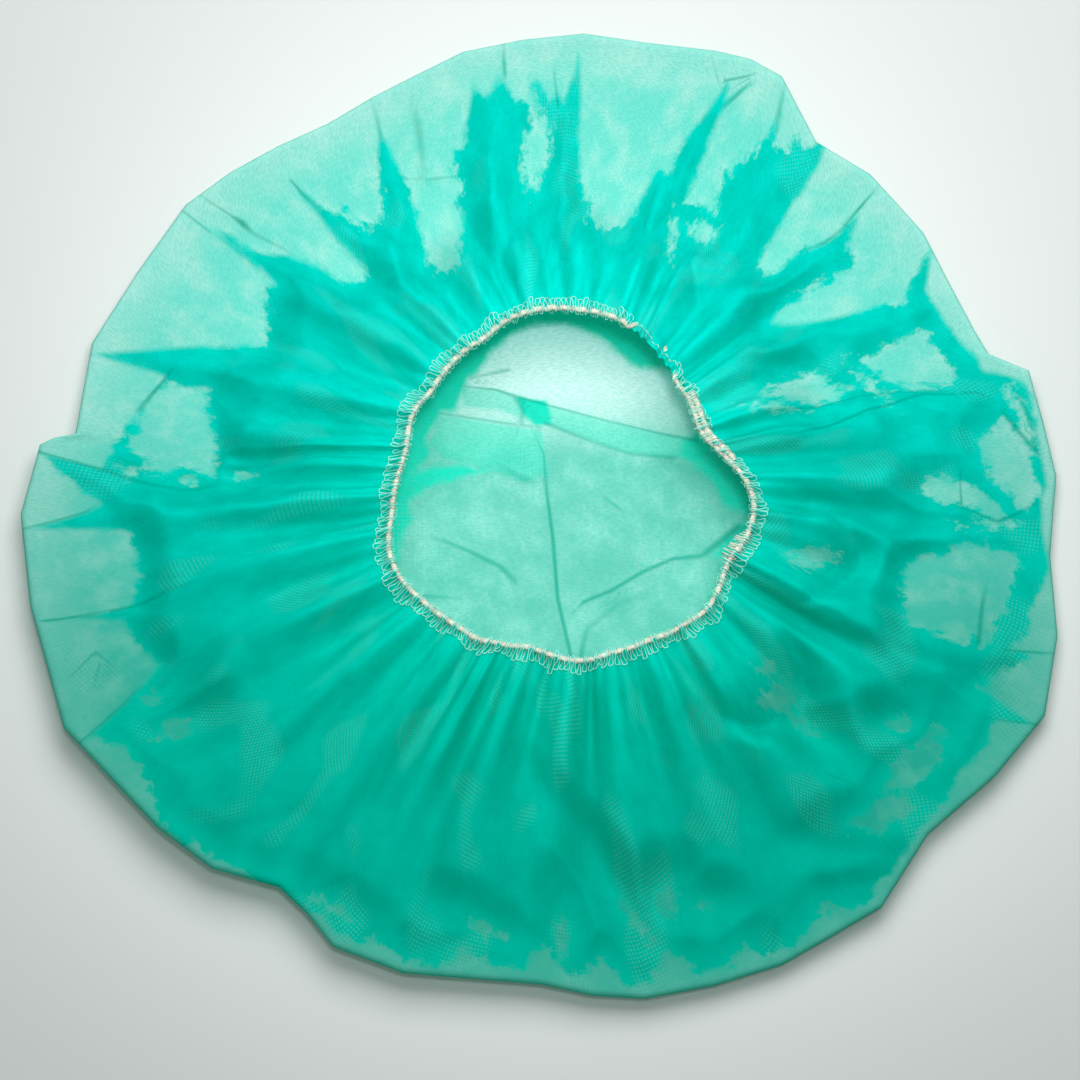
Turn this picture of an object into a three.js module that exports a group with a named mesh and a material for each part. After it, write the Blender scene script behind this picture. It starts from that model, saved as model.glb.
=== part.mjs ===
// A disposable hair cover cap: one round piece of nonwoven cloth, gathered by an elastic.
// It lies flat on its crown with its mouth up. Lengths are in millimetres and +Z is up.

import * as THREE from 'three';

// The laid cap
const laidWidth = 320; // across the soft fold all round, from side to side
const floorShare = 0.62; // of each radius, lies flat on the surface below
const edgeFold = 7; // height of the soft fold where the cloth turns back
const edgeLift = 12; // most that the edge stands off the surface

// The mouth
const mouthRadius = 53;
const mouthX = 9; // its centre from the middle of the cap
const mouthY = 1.5;
const mouthHeight = 30; // of the cloth's gathered edge above the surface below
const pleatDepth = 5.5; // from the middle of a pleat to its ridge, where it is deepest
const gatherDepth = 1.4; // the same at the stitched edge, which the elastic holds

// The cloth and the elastic
const clothWall = 1.2;
const elasticWidth = 2.8;
const elasticHeight = 1.8;
const seamGap = 0.3; // between the elastic and what it is stitched to
const overlapStart = 8; // degrees round the mouth, where the elastic's ends lie side by side
const overlapEnd = 38;

// How finely the cloth and the elastic are drawn
const columnsPerFold = 4;
const elasticSides = 6;
const overlapSteps = 14;

// One row for each fold, anticlockwise. angle: where it meets the outline, in degrees about the
// middle of the cap. edge and between: the outline's radius there and halfway to the next fold, as
// shares of half the laid width. mouth and mouthBetween: the same at the mouth, as shares of the
// mouth's radius. pleat: as a share of the pleat depth. lift: of the edge, as a share of its lift.
const folds = [
  { angle: -178.7, edge: 1.005, between: 0.999, mouth: 1.02, mouthBetween: 1.04, pleat: 1.0, lift: 0.55 },
  { angle: -168.1, edge: 1.001, between: 0.998, mouth: 1.08, mouthBetween: 1.12, pleat: 0.9, lift: 0.7 },
  { angle: -153.9, edge: 1.011, between: 0.979, mouth: 1.13, mouthBetween: 1.11, pleat: 1.1, lift: 0.85 },
  { angle: -138.7, edge: 0.965, between: 0.946, mouth: 1.09, mouthBetween: 1.07, pleat: 0.9, lift: 1.0 },
  { angle: -123.5, edge: 0.897, between: 0.912, mouth: 1.06, mouthBetween: 1.06, pleat: 0.7, lift: 0.9 },
  { angle: -114.5, edge: 0.945, between: 0.942, mouth: 1.03, mouthBetween: 1.01, pleat: 0.8, lift: 0.8 },
  { angle: -106.0, edge: 0.945, between: 0.928, mouth: 0.99, mouthBetween: 1.01, pleat: 0.9, lift: 0.75 },
  { angle: -90.0, edge: 0.929, between: 0.954, mouth: 1.04, mouthBetween: 1.04, pleat: 1.0, lift: 0.65 },
  { angle: -78.5, edge: 0.974, between: 0.985, mouth: 1.02, mouthBetween: 1.02, pleat: 0.8, lift: 0.5 },
  { angle: -63.0, edge: 0.999, between: 1.0, mouth: 1.02, mouthBetween: 1.04, pleat: 1.0, lift: 0.4 },
  { angle: -50.6, edge: 1.012, between: 0.975, mouth: 1.05, mouthBetween: 1.07, pleat: 0.9, lift: 0.45 },
  { angle: -31.8, edge: 1.013, between: 1.027, mouth: 1.04, mouthBetween: 1.01, pleat: 0.9, lift: 0.5 },
  { angle: -23.3, edge: 1.047, between: 1.024, mouth: 1.01, mouthBetween: 1.05, pleat: 1.0, lift: 0.35 },
  { angle: -5.8, edge: 0.987, between: 0.99, mouth: 1.06, mouthBetween: 1.04, pleat: 1.1, lift: 0.2 },
  { angle: 3.4, edge: 1.0, between: 0.989, mouth: 0.99, mouthBetween: 0.92, pleat: 0.9, lift: 0.2 },
  { angle: 15.7, edge: 0.986, between: 0.924, mouth: 0.85, mouthBetween: 0.81, pleat: 0.7, lift: 0.35 },
  { angle: 22.5, edge: 0.918, between: 0.918, mouth: 0.8, mouthBetween: 0.82, pleat: 0.8, lift: 0.1 },
  { angle: 36.3, edge: 0.933, between: 0.931, mouth: 0.84, mouthBetween: 0.84, pleat: 0.9, lift: 0.05 },
  { angle: 46.0, edge: 0.935, between: 0.917, mouth: 0.87, mouthBetween: 0.9, pleat: 1.0, lift: 0.05 },
  { angle: 61.4, edge: 0.995, between: 1.0, mouth: 0.94, mouthBetween: 0.97, pleat: 0.8, lift: 0.15 },
  { angle: 69.6, edge: 0.99, between: 0.969, mouth: 1.0, mouthBetween: 1.02, pleat: 1.0, lift: 0.1 },
  { angle: 85.0, edge: 0.97, between: 0.954, mouth: 1.02, mouthBetween: 1.04, pleat: 1.1, lift: 0.0 },
  { angle: 99.6, edge: 0.941, between: 0.915, mouth: 1.04, mouthBetween: 1.04, pleat: 1.0, lift: 0.0 },
  { angle: 111.8, edge: 0.899, between: 0.886, mouth: 1.02, mouthBetween: 0.99, pleat: 0.9, lift: 0.0 },
  { angle: 125.5, edge: 0.898, between: 0.914, mouth: 0.99, mouthBetween: 0.99, pleat: 1.0, lift: 0.05 },
  { angle: 139.0, edge: 0.929, between: 0.922, mouth: 0.98, mouthBetween: 0.97, pleat: 1.0, lift: 0.1 },
  { angle: 159.7, edge: 0.937, between: 0.922, mouth: 1.0, mouthBetween: 0.99, pleat: 1.1, lift: 0.2 },
  { angle: 171.2, edge: 0.916, between: 0.956, mouth: 0.97, mouthBetween: 0.97, pleat: 0.6, lift: 0.35 },
  { angle: 173.2, edge: 0.979, between: 0.989, mouth: 0.98, mouthBetween: 1.0, pleat: 0.7, lift: 0.5 },
];

// One row for each ring of the cloth, from the crown out to the edge. radius: as a share of the
// radius where the edge's fold starts. rise: of the cloth, as a share of the edge's lift.
const floorRings = [
  { radius: 0.36 * floorShare, rise: 0 },
  { radius: 0.72 * floorShare, rise: 0 },
  { radius: floorShare, rise: 0 },
  { radius: 0.35 + 0.65 * floorShare, rise: 0.18 },
  { radius: 0.7 + 0.3 * floorShare, rise: 0.58 },
  { radius: 1, rise: 0.95 },
];

// Turns of the cloth round the edge's fold, in degrees from straight down
const foldTurns = [35, 70, 105, 140, 172];

// One row for each ring from the edge's fold back to the mouth. along: as a share of the way.
// climb: as a share of the height gained. pleat: as a share of the pleat depth.
const topRings = [
  { along: 0.1, climb: 0.04, pleat: 0.05 },
  { along: 0.24, climb: 0.12, pleat: 0.14 },
  { along: 0.38, climb: 0.22, pleat: 0.3 },
  { along: 0.52, climb: 0.35, pleat: 0.5 },
  { along: 0.66, climb: 0.51, pleat: 0.75 },
  { along: 0.78, climb: 0.68, pleat: 0.95 },
  { along: 0.88, climb: 0.84, pleat: 1 },
  { along: 0.95, climb: 0.95, pleat: 0.75 },
  { along: 1, climb: 1, pleat: 0 },
];

const turn = 2 * Math.PI;
const toRadians = THREE.MathUtils.degToRad;
const mix = THREE.MathUtils.lerp;
const mouthCentre = new THREE.Vector2(mouthX, mouthY);

// A point in plan at an angle and distance about a centre
function around(centre, angle, radius) {
  return new THREE.Vector2(Math.cos(angle), Math.sin(angle)).multiplyScalar(radius).add(centre);
}

// The angle of a point in plan about the mouth, carried on past a full turn
function mouthAngleOf(point, after) {
  const angle = Math.atan2(point.y - mouthY, point.x - mouthX);
  return after === null ? angle : angle + turn * Math.ceil((after - angle) / turn);
}

// The columns of the cloth, four to a fold: its place at the outline and at the mouth, how much
// of a ridge it is from 1 to -1, and how far its edge is lifted.
function makeColumns() {
  const centre = new THREE.Vector2(0, 0);
  const half = laidWidth / 2;
  const corners = [];
  let after = null;
  for (const fold of folds) {
    const point = around(centre, toRadians(fold.angle), fold.edge * half);
    after = mouthAngleOf(point, after);
    corners.push({ ...fold, point, straight: after });
  }
  // A pleat reaches the mouth halfway between its straight course and an even spacing.
  const start = corners.reduce((sum, c, i) => sum + c.straight - (turn * i) / corners.length, 0) / corners.length;
  corners.forEach((corner, i) => {
    corner.mouthAngle = (corner.straight + start + (turn * i) / corners.length) / 2;
  });
  const columns = [];
  corners.forEach((corner, i) => {
    const last = i === corners.length - 1;
    const next = corners[last ? 0 : i + 1];
    const nextAngle = next.angle + (last ? 360 : 0);
    const nextMouthAngle = next.mouthAngle + (last ? turn : 0);
    const middle = around(centre, toRadians((corner.angle + nextAngle) / 2), corner.between * half);
    for (let step = 0; step < columnsPerFold; step++) {
      const share = step / columnsPerFold;
      const firstHalf = share <= 0.5;
      const ends = firstHalf ? [corner.point, middle] : [middle, next.point];
      const mouthShares = firstHalf ? [corner.mouth, corner.mouthBetween] : [corner.mouthBetween, next.mouth];
      const part = firstHalf ? 2 * share : 2 * share - 1;
      const mouthAngle = mix(corner.mouthAngle, nextMouthAngle, share);
      columns.push({
        edge: ends[0].clone().lerp(ends[1], part),
        mouth: around(mouthCentre, mouthAngle, mouthRadius * mix(...mouthShares, part)),
        ridge: Math.cos(turn * share) * mix(corner.pleat, next.pleat, share),
        lift: edgeLift * mix(corner.lift, next.lift, share),
      });
    }
  });
  return columns;
}

// The middle of the cloth's wall: a ring of points for each row of the tables
function makeClothRings(columns) {
  const roll = (edgeFold - clothWall) / 2;
  const low = clothWall / 2;
  const rings = [];
  const foldStart = (column) => column.edge.clone().setLength(column.edge.length() - roll - low);
  for (const { radius, rise } of floorRings) {
    rings.push(columns.map((column) => {
      const plan = foldStart(column).multiplyScalar(radius);
      return new THREE.Vector3(plan.x, plan.y, low + rise * column.lift);
    }));
  }
  for (const degrees of foldTurns) {
    const angle = toRadians(degrees);
    rings.push(columns.map((column) => {
      const plan = foldStart(column);
      plan.setLength(plan.length() + roll * Math.sin(angle));
      return new THREE.Vector3(plan.x, plan.y, low + column.lift + roll * (1 - Math.cos(angle)));
    }));
  }
  const folded = rings[rings.length - 1];
  for (const { along, climb, pleat } of topRings) {
    rings.push(columns.map((column, i) => {
      const start = folded[i];
      const depth = Math.max(pleat * pleatDepth, climb * gatherDepth);
      return new THREE.Vector3(
        mix(start.x, column.mouth.x, along),
        mix(start.y, column.mouth.y, along),
        mix(start.z, mouthHeight, climb) + depth * column.ridge,
      );
    }));
  }
  return rings;
}

// The direction out of the bag at each point of the rings
function makeNormals(rings) {
  const middle = new THREE.Vector3(0, 0, clothWall / 2);
  return rings.map((ring, r) => ring.map((point, c) => {
    const before = r === 0 ? middle : rings[r - 1][c];
    const beyond = r === rings.length - 1 ? point : rings[r + 1][c];
    const outward = beyond.clone().sub(before);
    const sideways = ring[(c + 1) % ring.length].clone().sub(ring.at(c - 1));
    return sideways.cross(outward).normalize();
  }));
}

function makeMesh(name, points, triangles, material) {
  const geometry = new THREE.BufferGeometry();
  geometry.setAttribute('position', new THREE.Float32BufferAttribute(points.flatMap((p) => p.toArray()), 3));
  geometry.setIndex(triangles.flat());
  geometry.computeVertexNormals();
  const mesh = new THREE.Mesh(geometry, material);
  mesh.name = name;
  return mesh;
}

// The cloth as a closed wall: an outer and an inner skin, joined at the mouth
function makeCrown(rings, material) {
  const normals = makeNormals(rings);
  const count = rings[0].length;
  const points = [];
  for (const side of [0.5, -0.5]) {
    rings.forEach((ring, r) => ring.forEach((point, c) => {
      points.push(point.clone().addScaledVector(normals[r][c], side * clothWall));
    }));
  }
  const inner = rings.length * count;
  const outerPole = points.push(new THREE.Vector3(0, 0, 0)) - 1;
  const innerPole = points.push(new THREE.Vector3(0, 0, clothWall)) - 1;
  const at = (r, c) => r * count + (c % count);
  const triangles = [];
  const top = rings.length - 1;
  for (let c = 0; c < count; c++) {
    triangles.push([outerPole, at(0, c + 1), at(0, c)]);
    triangles.push([innerPole, inner + at(0, c), inner + at(0, c + 1)]);
    for (let r = 0; r < top; r++) {
      const corners = [at(r, c), at(r, c + 1), at(r + 1, c + 1), at(r + 1, c)];
      triangles.push([corners[0], corners[1], corners[2]], [corners[0], corners[2], corners[3]]);
      const [a, b, d, e] = corners.map((corner) => inner + corner);
      triangles.push([a, d, b], [a, e, d]);
    }
    const rim = [at(top, c), at(top, c + 1), inner + at(top, c + 1), inner + at(top, c)];
    triangles.push([rim[0], rim[1], rim[2]], [rim[0], rim[2], rim[3]]);
  }
  return makeMesh('crown', points, triangles, material);
}

// A strand of elastic along a path, flat side by side with the cloth's edge
function makeStrand(name, path, closed, material) {
  const points = [];
  const triangles = [];
  const count = path.length;
  path.forEach(({ centre, inward, up }) => {
    for (let side = 0; side < elasticSides; side++) {
      const angle = (turn * side) / elasticSides;
      points.push(centre.clone()
        .addScaledVector(inward, (elasticWidth / 2) * Math.cos(angle))
        .addScaledVector(up, (elasticHeight / 2) * Math.sin(angle)));
    }
  });
  const at = (i, side) => (i % count) * elasticSides + (side % elasticSides);
  const spans = closed ? count : count - 1;
  for (let i = 0; i < spans; i++) {
    for (let side = 0; side < elasticSides; side++) {
      const corners = [at(i, side), at(i + 1, side), at(i + 1, side + 1), at(i, side + 1)];
      triangles.push([corners[0], corners[2], corners[1]], [corners[0], corners[3], corners[2]]);
    }
  }
  if (!closed) {
    for (let side = 2; side < elasticSides; side++) {
      triangles.push([at(0, 0), at(0, side), at(0, side - 1)]);
      triangles.push([at(count - 1, 0), at(count - 1, side - 1), at(count - 1, side)]);
    }
  }
  return makeMesh(name, points, triangles, material);
}

// The course of the elastic at each column: a given distance in from the cloth's edge
function seamPoint(rings, c, distance) {
  const edge = rings.at(-1)[c];
  const inward = edge.clone().sub(rings.at(-2)[c]).setZ(0).normalize();
  return { centre: edge.clone().addScaledVector(inward, distance), inward, up: new THREE.Vector3(0, 0, 1) };
}

// The course of the elastic's second end, in steps between the two angles round the mouth
function overlapPath(ringPath) {
  const angleOf = ({ centre }) => Math.atan2(centre.y - mouthY, centre.x - mouthX);
  const inAngle = [...ringPath].sort((a, b) => angleOf(a) - angleOf(b));
  return Array.from({ length: overlapSteps + 1 }, (_, step) => {
    const angle = toRadians(mix(overlapStart, overlapEnd, step / overlapSteps));
    const after = inAngle.findIndex((place) => angleOf(place) > angle);
    const [a, b] = [inAngle[after - 1], inAngle[after]];
    const share = (angle - angleOf(a)) / (angleOf(b) - angleOf(a));
    const inward = a.inward.clone().lerp(b.inward, share).normalize();
    const centre = a.centre.clone().lerp(b.centre, share).addScaledVector(inward, elasticWidth + seamGap);
    return { centre, inward, up: a.up };
  });
}

const cloth = new THREE.MeshStandardMaterial({ color: 0x1fc9b1, roughness: 0.75, metalness: 0 });
const elastic = new THREE.MeshStandardMaterial({ color: 0xebe9da, roughness: 0.9, metalness: 0 });

const rings = makeClothRings(makeColumns());
const ringPath = rings.at(-1).map((_, c) => seamPoint(rings, c, seamGap + elasticWidth / 2));

const cap = new THREE.Group();
cap.add(makeCrown(rings, cloth));
cap.add(makeStrand('elastic_edging', ringPath, true, elastic));
cap.add(makeStrand('elastic_overlap', overlapPath(ringPath), false, elastic));

// The origin is under the middle of the cap's box, on the surface that it lies on.
const box = new THREE.Box3().setFromObject(cap);
const middle = box.getCenter(new THREE.Vector3());
cap.position.set(-middle.x, -middle.y, -box.min.z);

export default cap;
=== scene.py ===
import math

import bmesh
import bpy
import numpy as np
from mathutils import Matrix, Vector


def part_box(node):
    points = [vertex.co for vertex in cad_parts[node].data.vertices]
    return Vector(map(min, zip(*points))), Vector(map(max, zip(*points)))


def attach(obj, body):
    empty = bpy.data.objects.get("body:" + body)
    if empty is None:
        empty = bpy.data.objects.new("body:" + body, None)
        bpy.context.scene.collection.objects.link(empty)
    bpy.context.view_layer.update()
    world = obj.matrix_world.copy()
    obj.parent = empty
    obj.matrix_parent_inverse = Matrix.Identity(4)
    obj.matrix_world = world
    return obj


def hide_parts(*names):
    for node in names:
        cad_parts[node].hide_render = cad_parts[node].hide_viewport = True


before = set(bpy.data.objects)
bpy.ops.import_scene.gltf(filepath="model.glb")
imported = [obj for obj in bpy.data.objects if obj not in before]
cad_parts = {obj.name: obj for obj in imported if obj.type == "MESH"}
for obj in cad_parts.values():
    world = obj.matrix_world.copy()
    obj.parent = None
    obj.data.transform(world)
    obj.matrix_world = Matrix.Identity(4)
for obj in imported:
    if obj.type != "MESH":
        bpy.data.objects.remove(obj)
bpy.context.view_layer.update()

scene = bpy.context.scene
mm = 0.001
turn = 2 * math.pi


# Small helpers

def smooth(low, high, x):
    t = np.clip((x - low) / (high - low), 0, 1)
    return t * t * (3 - 2 * t)


def linearColour(hexText):
    channels = [int(hexText[i:i + 2], 16) / 255 for i in (1, 3, 5)]
    return [c / 12.92 if c <= 0.04045 else ((c + 0.055) / 1.055) ** 2.4 for c in channels] + [1]


def addNode(tree, kind, settings=None, **links):
    # settings are the node's own, or "in:NAME" for a socket's value, and links go to the sockets they name
    node = tree.nodes.new(kind)
    for name, value in (settings or {}).items():
        if name.startswith("in:"):
            key = name[3:]
            node.inputs[int(key) if key.isdigit() else key].default_value = value
        else:
            setattr(node, name, value)
    for name, source in links.items():
        key = name[2:] if name.startswith("i_") else name.replace("_", " ")
        tree.links.new(source, node.inputs[int(key) if key.isdigit() else key])
    return node


def newMaterial(name):
    material = bpy.data.materials.new(name)
    material.use_nodes = True
    material.node_tree.nodes.clear()
    return material, material.node_tree


def newPiece(name, bm, material):
    mesh = bpy.data.meshes.new(name)
    bm.to_mesh(mesh)
    bm.free()
    mesh.materials.append(material)
    mesh.shade_smooth()
    piece = bpy.data.objects.new(name, mesh)
    scene.collection.objects.link(piece)
    return piece


# Camera: nearly overhead, from the mouth's lower side

view = {
    "elevation": math.radians(78),
    "distance": 1.2,
    "aim": (0.0, -0.0109, 0.0),  # what the middle of the picture looks at
    "pictureSide": 1080,  # pixels
    "pixelAtAim": 0.3092 * mm,  # real size of a pixel there
    "sensor": 36.0,
}


def makeCamera():
    up = Vector((0, math.sin(view["elevation"]), math.cos(view["elevation"])))
    back = Vector((0, -math.cos(view["elevation"]), math.sin(view["elevation"])))
    data = bpy.data.cameras.new("camera")
    data.sensor_width = view["sensor"]
    data.lens = view["sensor"] * view["distance"] / (view["pictureSide"] * view["pixelAtAim"])
    data.clip_start = 0.01
    camera = bpy.data.objects.new("camera", data)
    camera.location = Vector(view["aim"]) + back * view["distance"]
    camera.rotation_euler = (math.pi / 2 - view["elevation"], 0, 0)
    scene.collection.objects.link(camera)
    scene.camera = camera
    return np.array(camera.location), np.array(up), np.array(back)


eye, eyeUp, eyeBack = makeCamera()


def chart(points):
    # where points lie on the chart of the folds, in the photo's own pixels
    ray = points - eye
    depth = -(ray @ eyeBack)
    scale = view["distance"] / view["pixelAtAim"] / depth
    half = view["pictureSide"] / 2
    return np.stack([half + ray[:, 0] * scale, half - (ray @ eyeUp) * scale], axis=1)


# Floor and light

def makeStage():
    bm = bmesh.new()
    bmesh.ops.create_grid(bm, x_segments=1, y_segments=1, size=3)
    material, tree = newMaterial("paper_sweep")
    shader = addNode(tree, "ShaderNodeBsdfPrincipled", {
        "in:Base Color": linearColour("#cad0cc"), "in:Roughness": 0.7, "in:Specular IOR Level": 0.2})
    addNode(tree, "ShaderNodeOutputMaterial", None, Surface=shader.outputs[0])
    floor = newPiece("floor", bm, material)
    print("stage made")


# A broad lamp above the far side, so that the near side falls off, a weak fill, and a soft spot
# into the mouth
lamps = [
    {"name": "window", "place": (0.04, 0.22, 0.52), "size": 0.44, "power": 3.7, "colour": "#fffdff"},
    {"name": "ceiling", "place": (-0.2, 0.1, 1.6), "size": 1.6, "power": 1.5, "colour": "#f4f8ff"},
    {"name": "viewer", "place": (0.05, -0.1, 1.2), "size": 0.08, "power": 32, "colour": "#fafaff",
     "cone": 18},
]


def makeLights():
    for lamp in lamps:
        data = bpy.data.lights.new(lamp["name"], "SPOT" if "cone" in lamp else "AREA")
        if "cone" in lamp:
            data.spot_size, data.spot_blend = math.radians(lamp["cone"]), 1
            data.shadow_soft_size = lamp["size"]
        else:
            data.size = lamp["size"]
        data.energy = lamp["power"]
        data.color = linearColour(lamp["colour"])[:3]
        light = bpy.data.objects.new(lamp["name"], data)
        light.location = lamp["place"]
        light.rotation_euler = (-Vector(lamp["place"])).to_track_quat("-Z", "Y").to_euler()
        scene.collection.objects.link(light)
    world = bpy.data.worlds.new("soft_room")
    world.use_nodes = True
    world.node_tree.nodes["Background"].inputs["Color"].default_value = linearColour("#f0f2f4")
    world.node_tree.nodes["Background"].inputs["Strength"].default_value = 0.32
    scene.world = world
    scene.view_settings.view_transform = "Standard"
    print("lights made")


# The cloth: one disc of nonwoven, laid flat and gathered at its edge

cloth = {
    "cutRadius": 265 * mm,
    "laidHalf": 160 * mm,
    "floorShare": 0.62,  # of each radius, lies flat
    "cadWall": 1.2 * mm,
    "edgeLift": 12 * mm,
    "pressedFold": 1.5 * mm,  # radius of the fold where the edge is pressed flat
    "openFold": 2.1 * mm,  # and where it stands off the surface
    "columnsPerFold": 22,
    "mouth": np.array([9, 1.5, 30]) * mm,
    "mouthRadius": 53 * mm,
    "pleatDepth": 5.5 * mm,
    "gatherDepth": 0.42 * mm,  # of the small gathers, and more at the stitched edge
    "edgeGatherDepth": 1.6 * mm,
    "gatherWaves": (87, 116),  # small gathers round the mouth, of two sizes
    "floorEnd": 152 * mm,  # distances from the middle of the flat cloth
    "foldEnd": 163 * mm,
    "crownEnd": 75 * mm,  # the crown as far as the eye sees it through the mouth
    "foldAngle": math.radians(176),  # that the cloth turns at its edge
    "valleyDepth": 2 * mm,
    "crownRise": 2.2 * mm,  # where the crown stands off the surface
    "creaseRise": 0.4 * mm,
    "tuckRise": 0.5 * mm,
}

# How high the pleats stand from the fold of the edge to the mouth: share of the way, share of their depth
pleatNames = ("way", "height")
pleatProfile = [dict(zip(pleatNames, row)) for row in (
    (0, 0), (0.1, 0.05), (0.24, 0.14), (0.38, 0.3), (0.52, 0.5), (0.66, 0.68), (0.78, 0.78), (0.88, 0.7),
    (0.95, 0.4), (1, 0.1),
)]

# angle, edge, between, mouth, mouthBetween, pleat, lift: as in the cap's solid model
foldNames = ("angle", "edge", "between", "mouth", "mouthBetween", "pleat", "lift")
folds = [dict(zip(foldNames, row)) for row in (
    (-178.7, 1.005, 0.999, 1.02, 1.04, 1.0, 0.55),
    (-168.1, 1.001, 0.998, 1.08, 1.12, 0.9, 0.7),
    (-153.9, 1.011, 0.979, 1.13, 1.11, 1.1, 0.85),
    (-138.7, 0.965, 0.946, 1.09, 1.07, 0.9, 1.0),
    (-123.5, 0.897, 0.912, 1.06, 1.06, 0.7, 0.9),
    (-114.5, 0.945, 0.942, 1.03, 1.01, 0.8, 0.8),
    (-106.0, 0.945, 0.928, 0.99, 1.01, 0.9, 0.75),
    (-90.0, 0.929, 0.954, 1.04, 1.04, 1.0, 0.65),
    (-78.5, 0.974, 0.985, 1.02, 1.02, 0.8, 0.5),
    (-63.0, 0.999, 1.0, 1.02, 1.04, 1.0, 0.4),
    (-50.6, 1.012, 0.975, 1.05, 1.07, 0.9, 0.45),
    (-31.8, 1.013, 1.027, 1.04, 1.01, 0.9, 0.5),
    (-23.3, 1.047, 1.024, 1.01, 1.05, 1.0, 0.35),
    (-5.8, 0.987, 0.99, 1.06, 1.04, 1.1, 0.2),
    (3.4, 1.0, 0.989, 0.99, 0.92, 0.9, 0.2),
    (15.7, 0.986, 0.924, 0.85, 0.81, 0.7, 0.35),
    (22.5, 0.918, 0.918, 0.8, 0.82, 0.8, 0.1),
    (36.3, 0.933, 0.931, 0.84, 0.84, 0.9, 0.05),
    (46.0, 0.935, 0.917, 0.87, 0.9, 1.0, 0.05),
    (61.4, 0.995, 1.0, 0.94, 0.97, 0.8, 0.15),
    (69.6, 0.99, 0.969, 1.0, 1.02, 1.0, 0.1),
    (85.0, 0.97, 0.954, 1.02, 1.04, 1.1, 0.0),
    (99.6, 0.941, 0.915, 1.04, 1.04, 1.0, 0.0),
    (111.8, 0.899, 0.886, 1.02, 0.99, 0.9, 0.0),
    (125.5, 0.898, 0.914, 0.99, 0.99, 1.0, 0.05),
    (139.0, 0.929, 0.922, 0.98, 0.97, 1.0, 0.1),
    (159.7, 0.937, 0.922, 1.0, 0.99, 1.1, 0.2),
    (171.2, 0.916, 0.956, 0.97, 0.97, 0.6, 0.35),
    (173.2, 0.979, 0.989, 0.98, 1.0, 0.7, 0.5),
)]

# Rings of the flat cloth: (up to this distance from the middle, in so many rings)
clothRings = [(68 * mm, 48), (cloth["floorEnd"], 10), (cloth["foldEnd"], 7), (cloth["cutRadius"], 80)]
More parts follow.
